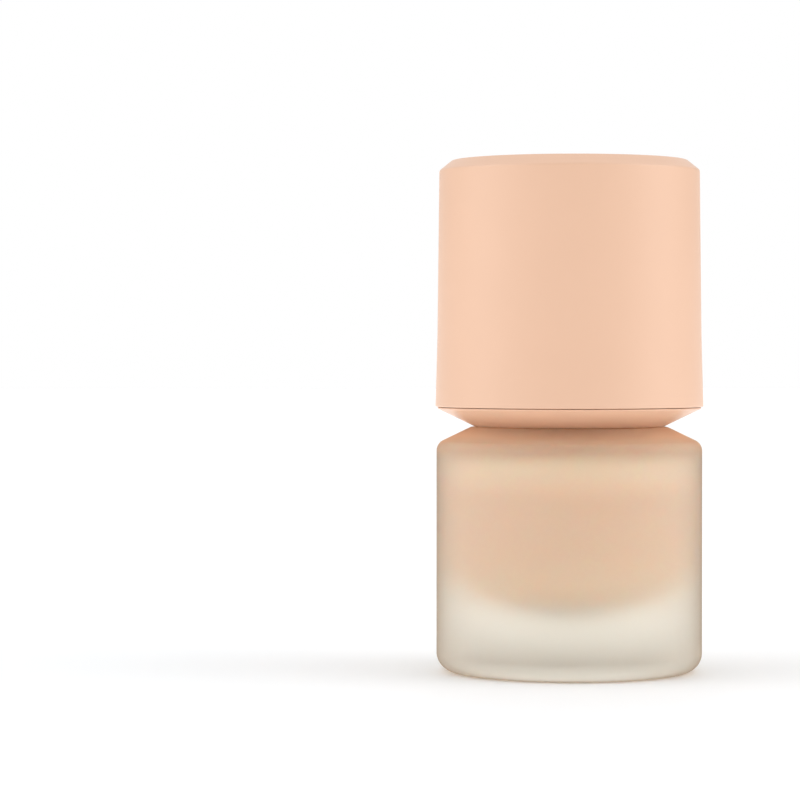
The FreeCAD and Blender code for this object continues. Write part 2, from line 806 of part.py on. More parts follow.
def actuator_core():
    """Stem socket, spout and the ribs that carry the shell, in one moulding."""
    body = new_body("actuator_core")
    hub, socket = size("hub_radius"), size("stem_radius") + size("running_gap")
    disc_radius = size("button_radius") - size("button_wall") - size("core_gap")
    foot = button_foot + size("hub_lift")
    disc_top = button_top - size("button_roof") - size("core_gap")
    disc_foot = disc_top - size("disc_thick")
    socket_end = deck + size("stem_rise") + size("stem_clear")
    passage, reach = size("channel_radius"), size("spout_reach")
    revolve(
        body,
        "hub",
        [
            (socket, foot, fine),
            (hub, foot, soft),
            (hub, disc_foot),
            (disc_radius, disc_foot),
            (disc_radius, disc_top, soft),
            (0, disc_top),
            (0, spout_height),
            (passage, spout_height),
            (passage, socket_end),
            (socket, socket_end),
        ],
    )
    rib_foot = foot + size("hub_free")
    rib = bar(body, "rib_outline", hub - size("rib_embed"), disc_radius, size("core_rib") * 0.5, rib_foot)
    around(body, "ribs", pad(body, "rib", rib, disc_foot - rib_foot + size("rib_embed")), RIB_COUNT)
    root = hub - size("spout_root")
    spout = disc(body, "spout_circle", 0, spout_height, size("spout_radius"), lift=root)
    pad(body, "spout", spout, reach - root)
    channel = disc(body, "channel_circle", 0, spout_height, passage)
    pocket(body, "channel", channel, reach + past)
    seat_back = reach - size("insert_depth")
    seat = disc(body, "seat_circle", 0, spout_height, size("spout_bore"), lift=seat_back)
    pocket(body, "insert_seat", seat, size("insert_depth") + past)
    round_spout_rings(body, "spout_edge", soft, [(size("spout_radius"), reach)])


def nozzle_insert():
    body = new_body("nozzle_insert")
    reach = size("spout_reach")
    front = reach + size("insert_rim")
    back = reach - size("insert_depth") + size("insert_clear")
    rim_back = reach + size("running_gap")
    barrel_radius = size("spout_bore") - size("insert_gap")
    barrel = disc(body, "barrel_circle", 0, spout_height, barrel_radius, lift=back)
    pad(body, "barrel", barrel, front - back)
    rim_disc = disc(body, "rim_circle", 0, spout_height, size("insert_rim_radius"), lift=rim_back)
    pad(body, "rim", rim_disc, front - rim_back)
    hole = disc(body, "orifice_circle", 0, spout_height, size("orifice_radius"))
    pocket(body, "orifice", hole, front + past)
    round_spout_rings(
        body, "front_edges", fine, [(size("insert_rim_radius"), front), (size("orifice_radius"), front)]
    )


def overcap_shell():
    """Tall outer shell with a slight taper, a lower edge that flares a little more and a bevelled top."""
    body = new_body("overcap_shell")
    wall, edge = size("cap_wall"), size("cap_foot_edge")
    foot_radius, foot = size("cap_foot_radius"), size("cap_foot_height")
    bevel_radius, bevel = size("cap_top_radius"), size("cap_bevel_height")
    flat_radius, top = size("cap_flat_radius"), size("cap_top_height")
    revolve(
        body,
        "cup",
        [
            (foot_radius - wall, foot, edge),
            (foot_radius, foot, edge),
            (size("cap_waist_radius"), size("cap_waist_height"), size("cap_waist_round")),
            (bevel_radius, bevel, size("cap_soft_edge")),
            (flat_radius, top, size("cap_soft_edge")),
            (0, top),
            (0, top - wall),
            (bevel_radius - wall, top - wall, size("cap_soft_edge")),
        ],
    )


def overcap_base_ring():
    """Conical ring that closes the shell's lower end. A spigot holds the shell, and a socket the liner."""
    body = new_body("overcap_base_ring")
    wall, mouth = size("ring_wall"), size("ring_mouth")
    foot_radius, foot = size("ring_foot_radius"), size("ring_foot_height")
    seam_height = size("cap_foot_height") - size("seam")
    edge = seam_height - size("ring_edge")
    spigot_outer = size("cap_foot_radius") - size("cap_wall") - size("spigot_gap")
    spigot_inner = spigot_outer - size("spigot_wall")
    spigot_top = size("cap_foot_height") + size("spigot_rise")
    socket_inner = size("liner_bore") + size("liner_wall") + size("liner_gap")
    socket_outer = socket_inner + size("socket_wall")
    floor = foot + wall
    socket_top = floor + size("socket_rise")
    revolve(
        body,
        "ring",
        [
            (mouth, foot, soft),
            (foot_radius, foot, soft),
            (size("ring_radius"), edge, fine),
            (size("ring_radius"), seam_height, fine),
            (spigot_outer, seam_height),
            (spigot_outer, spigot_top, soft),
            (spigot_inner, spigot_top, fine),
            (spigot_inner, seam_height),
            (foot_radius, floor),
            (socket_outer, floor),
            (socket_outer, socket_top, fine),
            (socket_inner, socket_top, soft),
            (socket_inner, floor),
            (mouth, floor),
        ],
    )


def overcap_liner():
    """Inner cup that grips the collar with low ribs and is centred in the shell by fins."""
    body = new_body("overcap_liner")
    inner = size("liner_bore")
    outer = inner + size("liner_wall")
    foot = size("ring_foot_height") + size("ring_wall") + size("running_gap")
    roof = size("liner_roof_height")
    top = roof + size("liner_roof")
    revolve(
        body,
        "cup",
        [
            (inner, foot, size("glass_edge")),
            (outer, foot, fine),
            (outer, top, size("glass_edge")),
            (0, top),
            (0, roof),
            (inner, roof, size("cap_soft_edge")),
        ],
    )
    embed = size("rib_embed")
    fin_foot, fin_top = size("fin_foot_height"), top + size("fin_rise")
    fin_reach = size("cap_top_radius") - size("cap_wall") - size("fin_gap")
    fin = bar(body, "fin_outline", outer - embed, fin_reach, size("fin_thick") * 0.5, fin_foot)
    around(body, "fins", pad(body, "fin", fin, fin_top - fin_foot), FIN_COUNT)
    grip_foot = size("grip_foot_height")
    grip = bar(body, "grip_outline", size("grip_radius"), inner + embed, size("grip_width") * 0.5, grip_foot)
    around(body, "grips", pad(body, "grip", grip, size("grip_length")), GRIP_COUNT)


PIECES = (
    glass_bottle,
    foundation_fill,
    base_label,
    neck_gasket,
    screw_closure,
    collar_shell,
    pump_housing,
    dip_tube,
    stem_retainer,
    stem,
    poppet,
    piston,
    return_spring,
    inlet_ball,
    actuator_shell,
    actuator_core,
    nozzle_insert,
    overcap_shell,
    overcap_base_ring,
    overcap_liner,
)


def check_and_write():
    """Stops on any failed object or bad shape, and only then writes one STEP file to a piece."""
    for item in doc.Objects:
        if {"Invalid", "Error"} & set(item.State):
            raise RuntimeError(f"{item.Name} failed: {item.State}")
    shapes = {}
    for piece in PIECES:
        label = piece.__name__
        shape = doc.getObjectsByLabel(label)[0].Shape
        if shape.isNull() or not shape.isValid() or not shape.Solids:
            raise RuntimeError(f"{label} has no valid solid")
        shapes[label] = shape
    os.makedirs("parts", exist_ok=True)
    for label, shape in shapes.items():
        shape.exportStep(f"parts/{label}.step")
        print(f"{label}: {len(shape.Solids)} solid, {shape.Volume / 1000:.3f} cm3")


doc = FreeCAD.newDocument("foundation_bottle")
make_sheet(doc)
for make_piece in PIECES:
    make_piece()
doc.recompute()
check_and_write()
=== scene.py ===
"""Looks of a foundation bottle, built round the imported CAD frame. Metres, +Z up, front towards -Y.

The pieces that show most are turned shapes. Their outlines are read off the CAD nodes and turned again, finer
and with true arcs. The spring is drawn as a round wire. The other pieces are the CAD nodes themselves. Every
piece gets a node-built material.
"""

import itertools
import json
import math

import bmesh
import bpy
import numpy as np
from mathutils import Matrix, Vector

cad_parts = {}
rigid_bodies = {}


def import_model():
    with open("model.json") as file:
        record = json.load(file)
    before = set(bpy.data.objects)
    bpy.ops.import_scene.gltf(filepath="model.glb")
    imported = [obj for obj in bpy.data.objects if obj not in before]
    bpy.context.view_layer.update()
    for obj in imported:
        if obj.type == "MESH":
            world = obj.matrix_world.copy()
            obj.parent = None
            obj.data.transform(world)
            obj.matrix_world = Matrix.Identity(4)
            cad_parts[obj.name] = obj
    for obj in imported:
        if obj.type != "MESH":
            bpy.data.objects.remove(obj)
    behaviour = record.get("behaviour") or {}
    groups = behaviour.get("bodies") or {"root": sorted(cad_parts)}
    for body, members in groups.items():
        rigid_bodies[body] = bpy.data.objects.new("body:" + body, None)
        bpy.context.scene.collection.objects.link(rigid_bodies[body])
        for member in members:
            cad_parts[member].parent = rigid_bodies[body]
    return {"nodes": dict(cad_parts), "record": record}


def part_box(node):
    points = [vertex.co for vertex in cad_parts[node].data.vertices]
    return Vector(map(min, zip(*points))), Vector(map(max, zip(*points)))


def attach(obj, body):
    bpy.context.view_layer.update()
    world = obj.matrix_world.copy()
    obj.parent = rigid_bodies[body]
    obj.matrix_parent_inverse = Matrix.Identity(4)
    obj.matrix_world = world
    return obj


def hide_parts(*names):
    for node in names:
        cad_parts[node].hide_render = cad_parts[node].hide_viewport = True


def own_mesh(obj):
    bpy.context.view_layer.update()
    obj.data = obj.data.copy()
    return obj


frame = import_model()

MM = 0.001
BODY_OF = {node: body for body, nodes in frame["record"]["behaviour"]["bodies"].items() for node in nodes}
SLOT_OF = {part["node"]: part["material_slot"] for part in frame["record"]["subparts"]}
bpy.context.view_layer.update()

# neck, thread and spring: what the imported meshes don't say outright
THREAD_PITCH = 2 * math.pi * frame["record"]["behaviour"]["couplings"][0]["ratio"]
THREAD_ROOT = 1.6 * MM  # width of the thread at the wall
THREAD_CREST = 0.8 * MM  # and at its top
THREAD_RUNOUT = 0.03  # share of a turn over which the thread rises
NECK_RADIUS = 8.8 * MM
NECK_STEP = 0.15 * MM  # height of one row of faces on the threaded wall
FROST_RADIUS = 11.2 * MM  # the frosting ends under the collar
COLLAR_RADIUS = 12.0 * MM
WETTING = 0.07 * MM  # how far the liquid reaches into the glass
WIRE_RADIUS = 0.35 * MM
WIRE_SIDES = 16
SPRING_TURNS = 7
TURN_STEPS = 48  # rings of the wire in one turn

# plastic; all colours are linear
CAP_LIGHT, CAP_DARK = (0.75, 0.473, 0.327), (0.735, 0.463, 0.319)
CAP_ROUGHNESS, CAP_SPECULAR = 0.38, 0.75
WHITE_LIGHT, WHITE_DARK = (0.88, 0.88, 0.87), (0.84, 0.84, 0.83)
WHITE_ROUGHNESS = 0.35

# glass
GLASS_TINT = (0.975, 0.975, 0.965)
GLASS_BEND = 1.5  # index of refraction
GLASS_ABSORBS = (0.19, 0.225, 0.32)  # share of each colour lost over GLASS_DEPTH
GLASS_DEPTH = 50 * MM
FROST = 0.62  # roughness of the etched side
HAZE = 0.1  # share of the etched side that is milky
HAZE_COLOUR = (0.85, 0.83, 0.77)
HAZE_ASLANT = 1.1  # added to the share where the glass is seen edge on, where the haze carries the painted edge shade
EDGE_PAINTED_SHADE = (0.47, 0.39, 0.31)  # painted shade: the haze turns a darker brown where the glass is seen at a slant, for the darker edges
PAINTED_SHADE_SLANTS = (0.3, 0.7)  # facing values between which that colour comes in
PAINTED_BOUNCE_HEIGHTS = (37 * MM, 41 * MM)  # near the neck, painted bounce light: the glass is warmed as if lit by the liquid and cap in the waist's shade
GLASS_PAINTED_BOUNCE, HAZE_PAINTED_BOUNCE = (1.0, 0.93, 0.84), (0.88, 0.6, 0.42)
PAINTED_BOUNCE_HAZE = 0.34

# liquid
LIQUID_LIGHT, LIQUID_DARK = (0.85, 0.632, 0.462), (0.835, 0.608, 0.442)
LIQUID_PAINTED_LIGHT = (0.985, 0.725, 0.545)  # painted light under the shoulder: a lighter band standing in for light that comes down the glass wall
PAINTED_LIGHT_HEIGHTS = (30.5 * MM, 34.5 * MM, 37 * MM, 40 * MM)  # starts, is full, starts to fade, ends
LIQUID_REACH = (1.0, 0.55, 0.35)  # how far each colour spreads under the surface, relative to LIQUID_DEPTH
LIQUID_DEPTH = 3.5 * MM

# studio, relative to the white of the picture
FLOOR_REACH = 4.0
FLOOR_SEEN, FLOOR_BOUNCE = (0.9457, 0.9653, 0.98), 0.93  # albedo for the camera, and for light on its way
FLOOR_GLOW = 0.44  # lights the underside of the glass; the camera doesn't see it
TENT_LEVEL, TENT_ABOVE, TENT_FRONT = 0.57, 0.45, 0.3  # all round, added overhead, taken off in front
LOBES = (  # azimuth from the camera's side, elevation, width, strength
    (80, 28, 0.1, 1.85),  # key on the right
    (-82, 28, 0.1, 1.6),  # and on the left
    (180, 8, 0.2, 0.32),  # lit backdrop
    (128, 4, 0.1, -0.5),  # dark room beside it
    (-128, 4, 0.1, -0.5),
)
CAMERA_PLACE = Vector((-29.34, -553.3, 55.7)) * MM
CAMERA_DIP = math.radians(0.898)
LENS, SENSOR = 143.55, 36.0  # millimetres, as Blender takes them


# ---------------------------------------------------------------- outlines

SAME_PLACE = 2e-6
RING_LEAST = 12  # a ring of a turned shape has at least this many vertices
CORNER_TURN = math.radians(19)  # a sharper bend than this in an outline is a corner
ARC_STEP = math.radians(3.5)
STRAIGHT_RATIO = 1.5  # a side this much longer than the next is a straight one that an arc leaves


def rings_of(node):
    """The rings of a turned CAD node as (radius, height) points, and the pairs that mesh edges join."""
    mesh = frame["nodes"][node].data
    spots = np.array([vertex.co for vertex in mesh.vertices])
    places = np.column_stack([np.hypot(spots[:, 0], spots[:, 1]), spots[:, 2]])
    points, ring_of = [], np.full(len(places), -1)
    free = np.ones(len(places), bool)
    for index in range(len(places)):
        if not free[index]:
            continue
        near = free & (np.abs(places - places[index]) < SAME_PLACE).all(1)
        free &= ~near
        if near.sum() >= RING_LEAST or places[index, 0] < SAME_PLACE:
            ring_of[near] = len(points)
            points.append(places[index])
    joined = set()
    for edge in mesh.edges:
        pair = tuple(sorted(ring_of[list(edge.vertices)]))
        if pair[0] >= 0 and pair[0] != pair[1]:
            joined.add(pair)
    return points, joined


def in_line(points, joined):
    """Pairs of rings in line with a third one joined to both: on a fine curve they may be neighbours."""
    around = {ring: set() for ring in range(len(points))}
    for one, other in joined:
        around[one].add(other)
        around[other].add(one)
    pairs = set()
    for middle, rim in around.items():
        away = {ring: points[ring] - points[middle] for ring in rim}
        headings = {ring: way / np.linalg.norm(way) for ring, way in away.items()}
        for one, other in itertools.combinations(sorted(rim), 2):
            if abs(np.linalg.det([headings[one], headings[other]])) < math.sin(CORNER_TURN):
                pairs.add((one, other))
    return pairs


def chained(points, joined):
    """Each ring's neighbours along the outline: shortest links first, two to a ring, and no early loop."""
    links = {ring: set() for ring in range(len(points))}
    chain = {ring: {ring} for ring in links}

    def length(pair):
        return math.dist(points[pair[0]], points[pair[1]])

    for one, other in sorted(joined | in_line(points, joined), key=lambda pair: (length(pair), pair)):
        room = [len(links[ring]) < (1 if points[ring][0] < SAME_PLACE else 2) for ring in (one, other)]
        if all(room) and chain[one] is not chain[other]:
            tie(links, one, other)
            chain[one] |= chain[other]
            for ring in chain[one]:
                chain[ring] = chain[one]
    closing = tuple(sorted(ring for ring in links if len(links[ring]) == 1))
    if closing in joined and len(chain[closing[0]]) == len(points):
        tie(links, *closing)
    return links


def tie(links, one, other):
    links[one].add(other)
    links[other].add(one)


def bridge_gaps(points, links):
    """Joins loose ends across walls that a thread interrupts, then across flat faces."""
    loose = [ring for ring in links if len(links[ring]) < 2 and points[ring][0] > SAME_PLACE]
    for along in (0, 1):
        for ring in loose:
            partners = [
                other
                for other in loose
                if other != ring
                and other not in links[ring]
                and len(links[other]) < 2
                and abs(points[other][along] - points[ring][along]) < SAME_PLACE
            ]
            if partners and len(links[ring]) < 2:
                tie(links, ring, min(partners, key=lambda other: math.dist(points[other], points[ring])))
    return [ring for ring in loose if len(links[ring]) == 1]


def outline_of(node):
    """A CAD node's outline: (radius, height) points in order, and whether it ends on the axis."""
    points, joined = rings_of(node)
    links = chained(points, joined)
    for ring in bridge_gaps(points, links):  # a flat end reaches the axis with no vertex on it
        points.append(np.array([0.0, points[ring][1]]))
        links[len(points) - 1] = set()
        tie(links, ring, len(points) - 1)
    ends = [ring for ring in links if len(links[ring]) == 1]
    walk = [min(ends or links, key=lambda ring: points[ring][1])]
    onward = links[walk[0]]
    while onward:
        walk.append(min(onward, key=lambda ring: points[ring][1]))
        onward = links[walk[-1]] - set(walk)
    if len(walk) != len(points):
        raise RuntimeError(f"{node}: the outline holds {len(walk)} of {len(points)} points")
    return [points[ring] for ring in walk], bool(ends)


def rounded(points, is_open):
    """The outline with its arcs drawn finely: between corners, each chord becomes a smooth curve."""
    count = len(points)
    sides = [points[(index + 1) % count] - points[index] for index in range(count)]
    lengths = [max(np.linalg.norm(side), 1e-12) for side in sides]
    headings = [side / length for side, length in zip(sides, lengths)]

    def turn(before, after):
        return math.atan2(before[0] * after[1] - before[1] * after[0], float(before @ after))

    tangents = []
    for index in range(count):
        before, after = index - 1, index
        if is_open and index in (0, count - 1):
            tangents.append(None)
        elif abs(turn(headings[before], headings[after])) > CORNER_TURN:
            tangents.append(None)
        elif lengths[before] > STRAIGHT_RATIO * lengths[after]:
            tangents.append(headings[before])
        elif lengths[after] > STRAIGHT_RATIO * lengths[before]:
            tangents.append(headings[after])
        else:
            middle = headings[before] + headings[after]
            tangents.append(middle / np.linalg.norm(middle))
    fine = []
    for index in range(count - 1 if is_open else count):
        start, end = points[index], points[(index + 1) % count]
        leave = tangents[index] if tangents[index] is not None else headings[index]
        arrive = tangents[(index + 1) % count]
        arrive = headings[index] if arrive is None else arrive
        steps = max(1, math.ceil(abs(turn(leave, arrive)) / ARC_STEP))
        reach = lengths[index]
        for step in range(steps):
            t = step / steps
            fine.append(
                (2 * t**3 - 3 * t**2 + 1) * start
                + (t**3 - 2 * t**2 + t) * reach * leave
                + (3 * t**2 - 2 * t**3) * end
                + (t**3 - t**2) * reach * arrive
            )
    if is_open:
        fine.append(points[-1])
    return fine


# ---------------------------------------------------------------- meshes

SEGMENTS = 192
HARD_EDGE = math.radians(24)


def new_piece(name, mesh):
    piece = bpy.data.objects.new(name, mesh)
    bpy.context.scene.collection.objects.link(piece)
    return piece


def shade(mesh):
    mesh.shade_smooth()
    mesh.set_sharp_from_angle(angle=HARD_EDGE)


def turned_mesh(name, outline, is_open, segments=SEGMENTS, swell=None, second=None):
    """Turns an outline about +Z. swell(azimuth, height, radius) may move a point outwards.

    second(start, end) says whether the band between two outline points takes the second material."""
    build = bmesh.new()
    rows = []
    for radius, height in outline:
        if radius < SAME_PLACE:
            rows.append([build.verts.new((0, 0, height))])
            continue
        row = []
        for step in range(segments):
            azimuth = 2 * math.pi * step / segments
            out = radius + (swell(azimuth, height, radius) if swell else 0)
            row.append(build.verts.new((out * math.cos(azimuth), out * math.sin(azimuth), height)))
        rows.append(row)
    last = len(rows) - 1 if is_open else len(rows)
    for index in range(last):
        low, high = rows[index], rows[(index + 1) % len(rows)]
        takes_second = bool(second and second(outline[index], outline[(index + 1) % len(rows)]))
        for step in range(segments):
            after = (step + 1) % segments
            around = ((low, step), (low, after), (high, after), (high, step))
            corners = [row[place % len(row)] for row, place in around]  # a point on the axis is a row of one
            build.faces.new(list(dict.fromkeys(corners))).material_index = int(takes_second)
    bmesh.ops.recalc_face_normals(build, faces=build.faces)
    mesh = bpy.data.meshes.new(name)
    build.to_mesh(mesh)
    build.free()
    shade(mesh)
    return mesh


def settle(piece, node, *materials):
    """The piece stands for its CAD node, rides on its body and takes its slot."""
    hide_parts(node)
    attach(piece, BODY_OF[node])
    for material in materials:
        piece.data.materials.append(material)
    return piece


def turned(node, *materials, points=None, **settings):
    """A turned piece, finer than its CAD node and of the same shape."""
    found, is_open = outline_of(node)
    fine = points if points is not None else rounded(found, is_open)
    mesh = turned_mesh(node + "_fine", fine, is_open, **settings)
    return settle(new_piece(node + "_fine", mesh), node, *materials)


def thread_swell():
    """How far the neck's thread stands out of its wall at an azimuth and height, read off the CAD neck."""
    spots = np.array([vertex.co for vertex in frame["nodes"]["glass_bottle"].data.vertices])
    out = np.hypot(spots[:, 0], spots[:, 1])
    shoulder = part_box("screw_closure")[0].z
    crest = out[spots[:, 2] > shoulder].max()
    crest_heights = spots[(spots[:, 2] > shoulder) & (out > crest - SAME_PLACE), 2]
    start = crest_heights.min() + THREAD_CREST / 2
    turns = (crest_heights.max() - THREAD_CREST / 2 - start) / THREAD_PITCH
    depth = crest - NECK_RADIUS

    def swell(azimuth, height, radius):
        if abs(radius - NECK_RADIUS) > SAME_PLACE:
            return 0.0
        out = 0.0
        for turn in range(math.ceil(turns)):
            along = azimuth / (2 * math.pi) + turn
            if along > turns:
                continue
            off = abs(height - start - along * THREAD_PITCH)
            flank = (THREAD_ROOT - THREAD_CREST) / 2
            rise = min(1.0, max(0.0, (THREAD_ROOT / 2 - off) / flank))
            rise = rise * rise * (3 - 2 * rise)
            ends = min(1.0, along / THREAD_RUNOUT, (turns - along) / THREAD_RUNOUT)
            out = max(out, depth * rise * ends)
        return out

    return swell


def divided(points, wanted, step):
    """Adds points to each straight stretch that wanted(start, end) picks."""
    fine = []
    for start, end in zip(points, points[1:] + points[:1]):
        fine.append(start)
        if wanted(start, end):
            count = math.ceil(np.linalg.norm(end - start) / step)
            fine += [start + (end - start) * share / count for share in range(1, count)]
    return fine


def glass(frosted, clear):
    """The bottle: frosted outside up to the finish, clear on the neck and inside."""

    def is_neck(start, end):
        return max(abs(start[0] - NECK_RADIUS), abs(end[0] - NECK_RADIUS)) < SAME_PLACE

    found, is_open = outline_of("glass_bottle")
    fine = rounded(found, is_open)
    shoulder = max(point[1] for point in fine if point[0] > COLLAR_RADIUS)
    closed_end = fine.pop()  # an open outline has no way back to its start
    fine = divided(fine, is_neck, NECK_STEP) + [closed_end]
    on_top = [height > shoulder - SAME_PLACE and radius < COLLAR_RADIUS for radius, height in fine]
    reached = on_top.index(True)
    fine.insert(reached, np.array([FROST_RADIUS, shoulder]))
    order = {tuple(point): index for index, point in enumerate(fine)}

    def is_clear(start, end):
        return order[tuple(start)] >= reached

    turned("glass_bottle", frosted, clear, points=fine, swell=thread_swell(), second=is_clear)


def liquid(material):
    """The liquid wets the glass: its outside reaches a hair into the wall, so that no air gap shows."""
    found, is_open = outline_of("foundation_fill")
    fine = rounded(found, is_open)
    wetted = []
    for index, point in enumerate(fine):
        before = fine[max(index - 1, 0)]
        along = point - before if index else fine[1] - point
        along = along / max(np.linalg.norm(along), 1e-12)
        outward = np.array([along[1], -along[0]])
        touches_glass = point[0] > COLLAR_RADIUS or point[1] < fine[0][1] + SAME_PLACE
        wetted.append(point + outward * WETTING if touches_glass else point)
    turned("foundation_fill", material, points=wetted)


def spring(material):
    """A round wire coil between the housing's ledge and the poppet. It shortens with the pump's stroke."""
    low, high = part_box("return_spring")
    coil_radius = high.x - WIRE_RADIUS
    foot, top = low.z + WIRE_RADIUS, high.z - WIRE_RADIUS
    steps = SPRING_TURNS * TURN_STEPS
    build = bmesh.new()
    rows = []
    for step in range(steps + 1):
        azimuth = 2 * math.pi * step / TURN_STEPS
        outward = Vector((math.cos(azimuth), math.sin(azimuth), 0))
        centre = outward * coil_radius + Vector((0, 0, foot + (top - foot) * step / steps))
        row = []
        for side in range(WIRE_SIDES):
            angle = 2 * math.pi * side / WIRE_SIDES
            offset = (outward * math.cos(angle) + Vector((0, 0, 1)) * math.sin(angle)) * WIRE_RADIUS
            row.append(build.verts.new(centre + offset))
        rows.append(row)
    for low_row, high_row in zip(rows, rows[1:]):
        for side in range(WIRE_SIDES):
            after = (side + 1) % WIRE_SIDES
            build.faces.new((low_row[side], low_row[after], high_row[after], high_row[side]))
    build.faces.new(list(reversed(rows[0])))
    build.faces.new(rows[-1])
    bmesh.ops.recalc_face_normals(build, faces=build.faces)
    mesh = bpy.data.meshes.new("return_spring_wire")
    build.to_mesh(mesh)
    build.free()
    shade(mesh)
    piece = settle(new_piece("return_spring_wire", mesh), "return_spring", material)
    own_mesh(piece)


# ---------------------------------------------------------------- materials


class Graph:
    """Short-hand for a node tree."""

    def __init__(self, tree):
        self.tree = tree
        tree.nodes.clear()

    def add(self, kind, inputs=None, **settings):
        """A node. An input is set to a number, or linked if it is another node's output."""
        made = self.tree.nodes.new(kind)
        for name, value in settings.items():
            setattr(made, name, value)
        for socket, value in (inputs or {}).items():
            if isinstance(value, bpy.types.NodeSocket):
                self.tree.links.new(value, made.inputs[socket])
            else:
                made.inputs[socket].default_value = value
        return made

    def maths(self, operation, first, second=0.0):
        return self.add("ShaderNodeMath", {0: first, 1: second}, operation=operation).outputs[0]

    def spread(self, value, low, high, start=0.0, end=1.0):
        """Maps start..end to low..high."""
        made = self.add("ShaderNodeMapRange", {0: value, 1: start, 2: end, 3: low, 4: high})
        return made.outputs[0]

    def noise(self, size, detail=2.0, roughness=0.5, stretch=(1, 1, 1), seed=0.0):
        """Noise whose blots are about size metres across, in the object's own space."""
        place = self.add("ShaderNodeTexCoord").outputs["Object"]
        scaled = self.add("ShaderNodeMapping", {"Vector": place, "Scale": stretch, "Location": (seed,) * 3})
        made = self.add(
            "ShaderNodeTexNoise",
            {"Vector": scaled.outputs[0], "Scale": 1 / size, "Detail": detail, "Roughness": roughness},
        )
        return made.outputs["Fac"]

    def blend(self, share, first, second):
        made = self.add("ShaderNodeMix", data_type="RGBA")
        for socket, value in ((0, share), (6, first), (7, second)):
            if isinstance(value, bpy.types.NodeSocket):
                self.tree.links.new(value, made.inputs[socket])
            else:
                made.inputs[socket].default_value = value if socket == 0 else (*value, 1)
        return made.outputs[2]

    def bump(self, relief, depth):
        """A normal for a relief from 0 to 1 that stands for depth metres."""
        return self.add("ShaderNodeBump", {"Height": relief, "Distance": depth, "Strength": 1.0}).outputs[0]

    def height(self):
        """Height over the object's origin, in metres."""
        places = self.add("ShaderNodeTexCoord").outputs["Object"]
        return self.add("ShaderNodeSeparateXYZ", {0: places}).outputs[2]

    def surface(self, **inputs):
        """A principled shader. Its inputs are named with underscores for spaces."""
        named = {name.replace("_", " "): value for name, value in inputs.items()}
        return self.add("ShaderNodeBsdfPrincipled", named)

    def end(self, shader, volume=None):
        self.add("ShaderNodeOutputMaterial", {"Surface": shader, **({"Volume": volume} if volume else {})})


def new_material(name):
    material = bpy.data.materials.new(name)
    material.use_nodes = True
    return material, Graph(material.node_tree)


def moulded(name, light, dark, roughness, **more):
    """Satin moulded plastic: faint flow clouds in the colour, a fine spark-eroded grain and uneven gloss."""
    material, graph = new_material(name)
    clouds = graph.noise(20 * MM, detail=3, seed=3.1)
    fine = graph.noise(0.25 * MM, detail=2, roughness=0.6)
    colour = graph.blend(graph.spread(clouds, 0, 1, 0.35, 0.65), dark, light)
    gloss = graph.maths("ADD", graph.spread(fine, -0.06, 0.06), graph.spread(clouds, -0.02, 0.02))
    shader = graph.surface(
        Base_Color=colour,
        Roughness=graph.maths("ADD", gloss, roughness),
        Normal=graph.bump(fine, 0.004 * MM),
        **more,
    )
    graph.end(shader.outputs[0])
    return material


def absorption(graph):
    """What the glass itself takes from light on its way through."""
    density = -math.log(1 - max(GLASS_ABSORBS)) / GLASS_DEPTH
    kept = [1 + math.log(1 - share) / GLASS_DEPTH / density for share in GLASS_ABSORBS]
    return graph.add("ShaderNodeVolumeAbsorption", {"Color": (*kept, 1), "Density": density}).outputs[0]


def frosted_glass():
    """Acid-etched glass: rough where light passes, with a little milky haze, a fine etched grain, painted
    bounce light near the neck and painted shade at the edges.
    """
    material, graph = new_material("frosted_glass")
    fine = graph.noise(0.18 * MM, detail=3, roughness=0.65)
    clouds = graph.noise(12 * MM, detail=3, seed=1.7)
    etched = graph.bump(fine, 0.012 * MM)
    rough = graph.spread(clouds, FROST - 0.02, FROST + 0.02)
    rough = graph.maths("ADD", graph.spread(fine, -0.05, 0.05), rough)
    # painted bounce light: a warm tint rising with height near the neck, in the colour passed through, the
    # haze colour and the haze share
    painted_bounce = graph.spread(graph.height(), 0, 1, *PAINTED_BOUNCE_HEIGHTS)
    through = graph.surface(
        Base_Color=graph.blend(painted_bounce, GLASS_TINT, GLASS_PAINTED_BOUNCE),
        Roughness=rough,
        IOR=GLASS_BEND,
        Transmission_Weight=1.0,
        Normal=etched,
    )
    aslant = graph.add("ShaderNodeLayerWeight", {"Blend": 0.5}).outputs["Facing"]
    # painted shade: seen edge on, the haze turns a darker brown
    colour = graph.blend(graph.spread(aslant, 0, 1, *PAINTED_SHADE_SLANTS), HAZE_COLOUR, EDGE_PAINTED_SHADE)
    colour = graph.blend(painted_bounce, colour, HAZE_PAINTED_BOUNCE)
    haze = graph.add("ShaderNodeBsdfDiffuse", {"Color": colour, "Normal": etched})
    glow = graph.add("ShaderNodeBsdfTranslucent", {"Color": colour, "Normal": etched})
    milk = graph.add("ShaderNodeMixShader", {0: 0.5, 1: haze.outputs[0], 2: glow.outputs[0]})
    share = graph.spread(clouds, HAZE - 0.02, HAZE + 0.02)
    share = graph.maths("ADD", share, graph.maths("MULTIPLY", painted_bounce, PAINTED_BOUNCE_HAZE))
    # more haze at a slant, which carries the painted edge shade
    share = graph.maths("ADD", share, graph.maths("MULTIPLY", graph.maths("POWER", aslant, 3.0), HAZE_ASLANT))
    mixed = graph.add("ShaderNodeMixShader", {0: share, 1: through.outputs[0], 2: milk.outputs[0]})
    graph.end(mixed.outputs[0], absorption(graph))
    return material


def clear_glass():
    """Fire-polished glass with the faint waviness of a moulded finish."""
    material, graph = new_material("clear_glass")
    waves = graph.noise(4 * MM, detail=1)
    shader = graph.surface(
        Base_Color=(*GLASS_TINT, 1),
        Roughness=graph.spread(waves, 0.015, 0.04),
        IOR=GLASS_BEND,
        Transmission_Weight=1.0,
        Normal=graph.bump(waves, 0.02 * MM),
    )
    graph.end(shader.outputs[0], absorption(graph))
    return material


